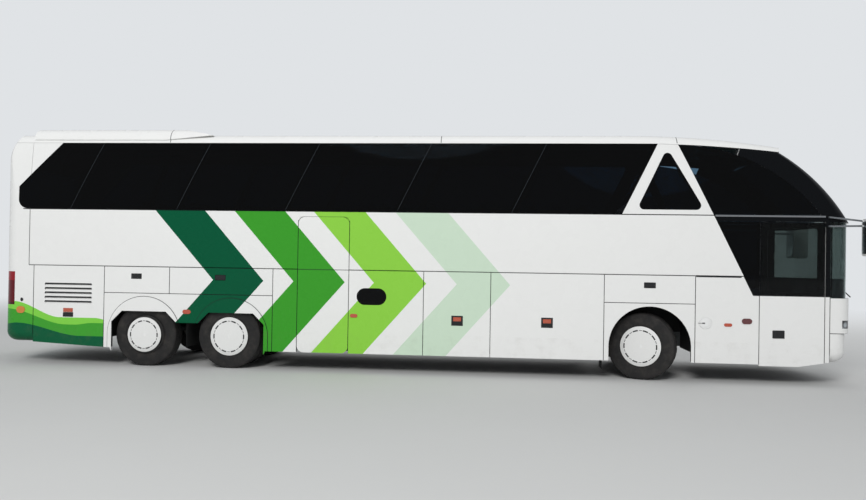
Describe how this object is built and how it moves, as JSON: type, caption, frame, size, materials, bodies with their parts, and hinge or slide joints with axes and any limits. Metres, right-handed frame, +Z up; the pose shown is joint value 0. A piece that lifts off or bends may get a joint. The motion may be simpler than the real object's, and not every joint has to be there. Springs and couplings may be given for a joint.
{
  "type": "touring coach",
  "caption": "High-deck touring coach on three axles, with plug doors, luggage flaps, domed windscreen and steered front wheels.",
  "frame": {"origin": "on the ground under the middle of the bounding box", "axes": "+X forward, +Y to the coach's left, +Z up; the doors are on the -Y side"},
  "size_m": [13.88, 3.24, 3.94],
  "materials": {
    "body_paint": "gloss",
    "dark_paint": "gloss",
    "screen_glass": "gloss",
    "dark_glass": "gloss",
    "pale_plastic": "satin",
    "red_lens": "gloss",
    "amber_lens": "gloss",
    "lamp_glass": "gloss",
    "steel": "satin",
    "floor_board": "matte",
    "chassis_paint": "satin",
    "forging": "matte",
    "bellows_rubber": "matte",
    "dark_plastic": "satin",
    "seat_cloth": "matte",
    "wheel_paint": "gloss",
    "tyre_rubber": "matte"
  },
  "bodies": {
    "coach_body": {"side_wall_right": "body_paint", "side_wall_left": "body_paint", "windscreens": "screen_glass", "windscreen_frame": "dark_paint", "fixed_windows": "dark_glass", "roof_shell": "body_paint", "roof_hatches": "pale_plastic", "roof_pod": "body_paint", "tail_lamps": "red_lens", "rear_wall": "body_paint", "wheel_service_covers": "body_paint", "skirt_panels": "body_paint", "headlamps": "lamp_glass", "front_mask": "body_paint", "front_bumper": "body_paint", "side_markers": "amber_lens", "passenger_deck": "floor_board", "cockpit_floor": "floor_board", "steps": "floor_board", "underframe": "chassis_paint", "wheel_housings": "chassis_paint", "front_axle": "forging", "rear_axles": "forging", "air_springs": "bellows_rubber", "dashboard": "dark_plastic", "seats": "seat_cloth", "engine_block": "forging", "mirrors": "dark_plastic"},
    "front_door_arm": {"front_door_arm": "steel"},
    "front_door": {"front_door": "body_paint", "front_door_glass": "dark_glass"},
    "mid_door_arm": {"mid_door_arm": "steel"},
    "mid_door": {"mid_door": "body_paint"},
    "luggage_flap_rear_right": {"luggage_flap_rear_right": "body_paint"},
    "luggage_flap_rear_left": {"luggage_flap_rear_left": "body_paint"},
    "luggage_flap_front_right": {"luggage_flap_front_right": "body_paint"},
    "luggage_flap_front_left": {"luggage_flap_front_left": "body_paint"},
    "engine_flap_right": {"engine_flap_right": "body_paint"},
    "engine_flap_left": {"engine_flap_left": "body_paint"},
    "rear_lid": {"rear_lid": "body_paint"},
    "knuckle_left": {"knuckle_left": "forging"},
    "knuckle_right": {"knuckle_right": "forging"},
    "tie_rod": {"tie_rod": "steel"},
    "steering_wheel": {"steering_wheel": "dark_plastic"},
    "wheel_front_left": {"wheel_front_left": "wheel_paint", "tyre_front_left": "tyre_rubber"},
    "wheel_front_right": {"wheel_front_right": "wheel_paint", "tyre_front_right": "tyre_rubber"},
    "wheel_tag_left": {"wheel_tag_left": "wheel_paint", "tyre_tag_left": "tyre_rubber"},
    "wheel_tag_right": {"wheel_tag_right": "wheel_paint", "tyre_tag_right": "tyre_rubber"},
    "wheel_drive_left": {"wheel_drive_left": "wheel_paint", "tyre_drive_left": "tyre_rubber"},
    "wheel_drive_right": {"wheel_drive_right": "wheel_paint", "tyre_drive_right": "tyre_rubber"}
  },
  "joints": [
    {"name": "front_door_arm_turn", "type": "hinge", "parent": "coach_body", "child": "front_door_arm", "pos_m": [5.317, -1.12, 0.95], "axis": [0, 0, 1], "range_deg": [-150, 0]},
    {"name": "front_door_turn", "type": "hinge", "parent": "front_door_arm", "child": "front_door", "pos_m": [5.86625, -1.09122, 0.95], "axis": [0, 0, 1], "range_deg": [0, 150]},
    {"name": "mid_door_arm_turn", "type": "hinge", "parent": "coach_body", "child": "mid_door_arm", "pos_m": [-1.158, -1.12, 0.95], "axis": [0, 0, 1], "range_deg": [0, 150]},
    {"name": "mid_door_turn", "type": "hinge", "parent": "mid_door_arm", "child": "mid_door", "pos_m": [-1.65731, -1.09383, 0.95], "axis": [0, 0, 1], "range_deg": [-150, 0]},
    {"name": "luggage_flap_rear_right_lift", "type": "hinge", "parent": "coach_body", "child": "luggage_flap_rear_right", "pos_m": [0.655, -1.27, 1.615], "axis": [-1, 0, 0], "range_deg": [0, 110]},
    {"name": "luggage_flap_rear_left_lift", "type": "hinge", "parent": "coach_body", "child": "luggage_flap_rear_left", "pos_m": [0.655, 1.27, 1.615], "axis": [1, 0, 0], "range_deg": [0, 110]},
    {"name": "luggage_flap_front_right_lift", "type": "hinge", "parent": "coach_body", "child": "luggage_flap_front_right", "pos_m": [2.0485, -1.27, 1.615], "axis": [-1, 0, 0], "range_deg": [0, 110]},
    {"name": "luggage_flap_front_left_lift", "type": "hinge", "parent": "coach_body", "child": "luggage_flap_front_left", "pos_m": [2.0485, 1.27, 1.615], "axis": [1, 0, 0], "range_deg": [0, 110]},
    {"name": "engine_flap_right_lift", "type": "hinge", "parent": "coach_body", "child": "engine_flap_right", "pos_m": [-5.706, -1.27, 1.615], "axis": [-1, 0, 0], "range_deg": [0, 110]},
    {"name": "engine_flap_left_lift", "type": "hinge", "parent": "coach_body", "child": "engine_flap_left", "pos_m": [-5.706, 1.27, 1.615], "axis": [1, 0, 0], "range_deg": [0, 110]},
    {"name": "rear_lid_lift", "type": "hinge", "parent": "coach_body", "child": "rear_lid", "pos_m": [-6.935, 0, 1.555], "axis": [0, 1, 0], "range_deg": [0, 90]},
    {"name": "steer_left", "type": "hinge", "parent": "coach_body", "child": "knuckle_left", "pos_m": [3.59, 0.895, 0.516], "axis": [0, 0, 1], "range_deg": [-22, 62]},
    {"name": "steer_right", "type": "hinge", "parent": "coach_body", "child": "knuckle_right", "pos_m": [3.59, -0.895, 0.516], "axis": [0, 0, 1], "range_deg": [-22, 62]},
    {"name": "tie_rod_turn", "type": "hinge", "parent": "knuckle_left", "child": "tie_rod", "pos_m": [3.40206, 0.9634, 0.565], "axis": [0, 0, 1], "range_deg": [-62, 22]},
    {"name": "steering_wheel_turn", "type": "hinge", "parent": "coach_body", "child": "steering_wheel", "pos_m": [5.75, 0.65, 1.7], "axis": [-0.5736, 0, 0.8191], "range_deg": [-355, 995]},
    {"name": "wheel_front_left_spin", "type": "hinge", "parent": "knuckle_left", "child": "wheel_front_left", "pos_m": [3.6413, 1.03595, 0.516], "axis": [0.342, 0.9397, 0], "continuous": true},
    {"name": "wheel_drive_left_spin", "type": "hinge", "parent": "coach_body", "child": "wheel_drive_left", "pos_m": [-3.015, 1.068, 0.516], "axis": [0, 1, 0], "continuous": true},
    {"name": "wheel_tag_left_spin", "type": "hinge", "parent": "coach_body", "child": "wheel_tag_left", "pos_m": [-4.42, 1.06, 0.516], "axis": [0, 1, 0], "continuous": true},
    {"name": "wheel_front_right_spin", "type": "hinge", "parent": "knuckle_right", "child": "wheel_front_right", "pos_m": [3.5387, -1.03595, 0.516], "axis": [0.342, 0.9397, 0], "continuous": true},
    {"name": "wheel_drive_right_spin", "type": "hinge", "parent": "coach_body", "child": "wheel_drive_right", "pos_m": [-3.015, -1.068, 0.516], "axis": [0, 1, 0], "continuous": true},
    {"name": "wheel_tag_right_spin", "type": "hinge", "parent": "coach_body", "child": "wheel_tag_right", "pos_m": [-4.42, -1.06, 0.516], "axis": [0, 1, 0], "continuous": true}
  ],
  "couplings": [
    {"joint": "front_door_turn", "follows": "front_door_arm_turn", "ratio": -1},
    {"joint": "mid_door_turn", "follows": "mid_door_arm_turn", "ratio": -1},
    {"joint": "steer_right", "follows": "steer_left", "ratio": 1},
    {"joint": "tie_rod_turn", "follows": "steer_left", "ratio": -1},
    {"joint": "steering_wheel_turn", "follows": "steer_left", "ratio": 16}
  ]
}
